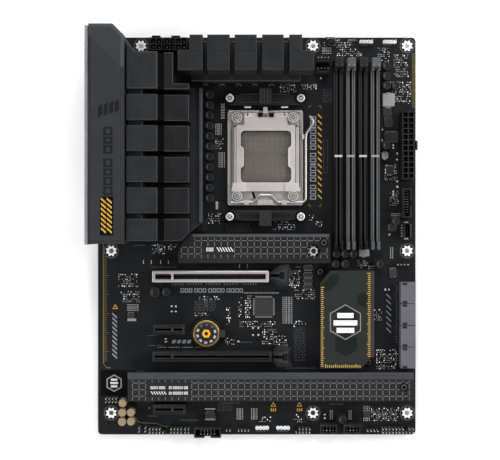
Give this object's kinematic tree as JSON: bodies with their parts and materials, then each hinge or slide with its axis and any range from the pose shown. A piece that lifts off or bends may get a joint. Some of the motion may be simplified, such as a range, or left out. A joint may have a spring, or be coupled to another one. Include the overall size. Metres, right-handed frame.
{
  "type": "motherboard",
  "caption": "ATX computer motherboard with finned power-stage heatsinks, a rear port cover, a lever-and-plate processor socket, memory slots with latches, expansion slots and storage heatsinks.",
  "frame": {"origin": "centre of the board's outline, on the plane that the cooler backplate and the rear shield rest on; the board's underside is 2.8 mm and its top face 4.4 mm above it", "axes": "+Z out of the component side; +X from the rear ports towards the front edge; +Y along the long side, towards the processor's end"},
  "size_m": [0.2467, 0.3048, 0.0464],
  "materials": {
    "board_black": "black solder mask with a slight sheen",
    "heatsink_black": "black anodised, finely brushed",
    "cover_charcoal": "satin charcoal paint",
    "black_plastic": "moulded, fine matt grain",
    "grey_plastic": "moulded, satin",
    "socket_steel": "plated pressed steel, warm grey",
    "plated_steel": "bright nickel plating",
    "backplate_steel": "black coated steel",
    "contact_field": "grey-brown contact field",
    "slate_plastic": "moulded, dark slate",
    "chip_black": "moulded chip body, fine grain",
    "cell_black": "black face of the coin cell",
    "gold_plating": "gold plated",
    "white_plastic": "moulded white",
    "print_white": "printed line, matt",
    "print_amber": "printed line, matt amber",
    "solder": "tinned"
  },
  "bodies": {
    "board": {"atx_power_24pin": "black_plastic", "audio_jack_block": "black_plastic", "battery_cell": "cell_black", "battery_holder": "black_plastic", "bios_switch": "black_plastic", "chipset_chip": "chip_black", "chipset_heatsink": "heatsink_black", "cooler_backplate": "backplate_steel", "cooler_bracket_lower": "black_plastic", "cooler_bracket_upper": "black_plastic", "cooler_screw_1": "plated_steel", "cooler_screw_2": "plated_steel", "cooler_screw_3": "plated_steel", "cooler_screw_4": "plated_steel", "cpu_hinge_wire": "socket_steel", "cpu_power_4pin": "black_plastic", "cpu_power_8pin": "black_plastic", "cpu_socket_frame": "socket_steel", "cpu_socket_housing": "contact_field", "dimm_slot_1": "black_plastic", "dimm_slot_2": "grey_plastic", "dimm_slot_3": "black_plastic", "dimm_slot_4": "grey_plastic", "front_usb3_header": "black_plastic", "front_usbc_header": "plated_steel", "io_cover": "cover_charcoal", "io_shield": "plated_steel", "lan_port_stack": "plated_steel", "m2_heatsink_lower": "heatsink_black", "m2_heatsink_upper": "heatsink_black", "m2_socket_1": "black_plastic", "m2_socket_2": "black_plastic", "pcb": "board_black", "pcie_x16_armour": "socket_steel", "pcie_x16_slot_lower": "black_plastic", "pcie_x16_slot_upper": "black_plastic", "pcie_x1_slot_lower": "black_plastic", "pcie_x1_slot_upper": "black_plastic", "sata_port_1": "grey_plastic", "sata_port_2": "grey_plastic", "sata_port_3": "grey_plastic", "sata_port_4": "grey_plastic", "super_io_chip": "chip_black", "usb_port_stack_1": "plated_steel", "usb_port_stack_2": "plated_steel", "usbc_port_stack": "plated_steel", "video_port_stack": "plated_steel", "vrm_heatsink_left": "heatsink_black", "vrm_heatsink_top": "heatsink_black"},
    "load_lever": {"cpu_load_lever": "plated_steel"},
    "load_plate": {"cpu_load_plate": "socket_steel"},
    "bios_button": {"bios_button": "grey_plastic"},
    "pcie_latch_upper": {"pcie_x16_latch_upper": "slate_plastic"},
    "pcie_latch_lower": {"pcie_x16_latch_lower": "grey_plastic"},
    "m2_latch_1": {"m2_latch_1": "black_plastic"},
    "m2_latch_2": {"m2_latch_2": "black_plastic"},
    "dimm_latch_1": {"dimm_latch_1": "black_plastic"},
    "dimm_latch_2": {"dimm_latch_2": "grey_plastic"},
    "dimm_latch_3": {"dimm_latch_3": "black_plastic"},
    "dimm_latch_4": {"dimm_latch_4": "grey_plastic"}
  },
  "joints": [
    {"name": "load_lever_turn", "type": "hinge", "parent": "board", "child": "load_lever", "pos_m": [0.0065, 0.026, 0.0086], "axis": [1, 0, 0], "range_deg": [0, 130]},
    {"name": "load_plate_turn", "type": "hinge", "parent": "board", "child": "load_plate", "pos_m": [0.0065, 0.0953, 0.0085], "axis": [-1, 0, 0], "range_deg": [0, 115]},
    {"name": "bios_button_press", "type": "slide", "parent": "board", "child": "bios_button", "axis": [1, 0, 0], "range_m": [0, 0.0008], "stiffness_N_per_m": 400, "springref_m": -0.0005},
    {"name": "pcie_latch_upper_press", "type": "hinge", "parent": "board", "child": "pcie_latch_upper", "pos_m": [0.0128, -0.0298, 0.0074], "axis": [0, 1, 0], "range_deg": [0, 15], "stiffness_Nm_per_rad": 0.02, "springref_deg": -5.73},
    {"name": "pcie_latch_lower_press", "type": "hinge", "parent": "board", "child": "pcie_latch_lower", "pos_m": [0.0149, -0.09145, 0.0074], "axis": [0, 1, 0], "range_deg": [0, 15], "stiffness_Nm_per_rad": 0.02, "springref_deg": -5.73},
    {"name": "dimm_latch_1_swing", "type": "hinge", "parent": "board", "child": "dimm_latch_1", "pos_m": [0.0618, 0.1295, 0.0089], "axis": [-1, 0, 0], "range_deg": [0, 30]},
    {"name": "dimm_latch_2_swing", "type": "hinge", "parent": "board", "child": "dimm_latch_2", "pos_m": [0.0711, 0.1295, 0.0089], "axis": [-1, 0, 0], "range_deg": [0, 30]},
    {"name": "dimm_latch_3_swing", "type": "hinge", "parent": "board", "child": "dimm_latch_3", "pos_m": [0.0804, 0.1295, 0.0089], "axis": [-1, 0, 0], "range_deg": [0, 30]},
    {"name": "dimm_latch_4_swing", "type": "hinge", "parent": "board", "child": "dimm_latch_4", "pos_m": [0.0897, 0.1295, 0.0089], "axis": [-1, 0, 0], "range_deg": [0, 30]},
    {"name": "m2_latch_1_turn", "type": "hinge", "parent": "board", "child": "m2_latch_1", "pos_m": [0.0356, -0.0092, 0.0044], "axis": [0, 0, 1], "range_deg": [0, 90]},
    {"name": "m2_latch_2_turn", "type": "hinge", "parent": "board", "child": "m2_latch_2", "pos_m": [-0.0042, -0.114, 0.0044], "axis": [0, 0, 1], "range_deg": [0, 90]}
  ]
}
